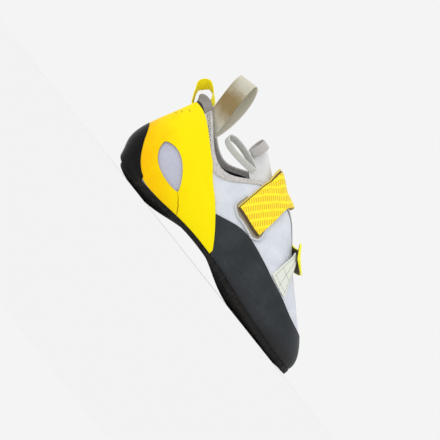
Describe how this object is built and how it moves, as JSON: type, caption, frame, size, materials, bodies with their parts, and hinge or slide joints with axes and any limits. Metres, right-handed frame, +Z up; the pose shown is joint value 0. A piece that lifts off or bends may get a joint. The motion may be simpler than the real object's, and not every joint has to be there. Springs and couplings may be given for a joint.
{
  "type": "climbing shoe",
  "caption": "Right climbing shoe: hollow synthetic upper on a rubber sole, yellow heel rand, hook-and-loop instep strap, toe strap, tongue and webbing pull loops",
  "frame": {"origin": "Centre of the bounding box, on the floor under the sole.", "axes": "+X points to the toe, +Y to the inner (medial) side, +Z up. The outer side is -Y."},
  "size_m": [0.258, 0.0951, 0.143],
  "materials": {
    "upper_grey": "matte synthetic leather and microfibre",
    "sole_black": "matte",
    "heel_black": "satin",
    "patch_grey": "satin",
    "rand_yellow": "satin",
    "strap_yellow": "matte",
    "loop_yellow": "woven",
    "webbing_beige": "woven",
    "landing_beige": "hook-and-loop pile",
    "tongue_white": "knit",
    "loop_white": "woven",
    "loop_grey": "woven",
    "insole_black": "matte"
  },
  "bodies": {
    "root": {"outsole": "sole_black", "insole": "insole_black", "upper": "upper_grey", "heel_cup": "heel_black", "tension_rand": "rand_yellow", "toe_patch": "patch_grey", "tongue": "tongue_white", "tongue_loop_white": "loop_white", "tongue_loop_grey": "loop_grey", "heel_pull_loop": "loop_yellow", "collar_pull_loop": "webbing_beige", "instep_strap": "strap_yellow", "strap_landing": "landing_beige", "toe_strap": "strap_yellow", "toe_strap_web": "webbing_beige"}
  },
  "joints": []
}
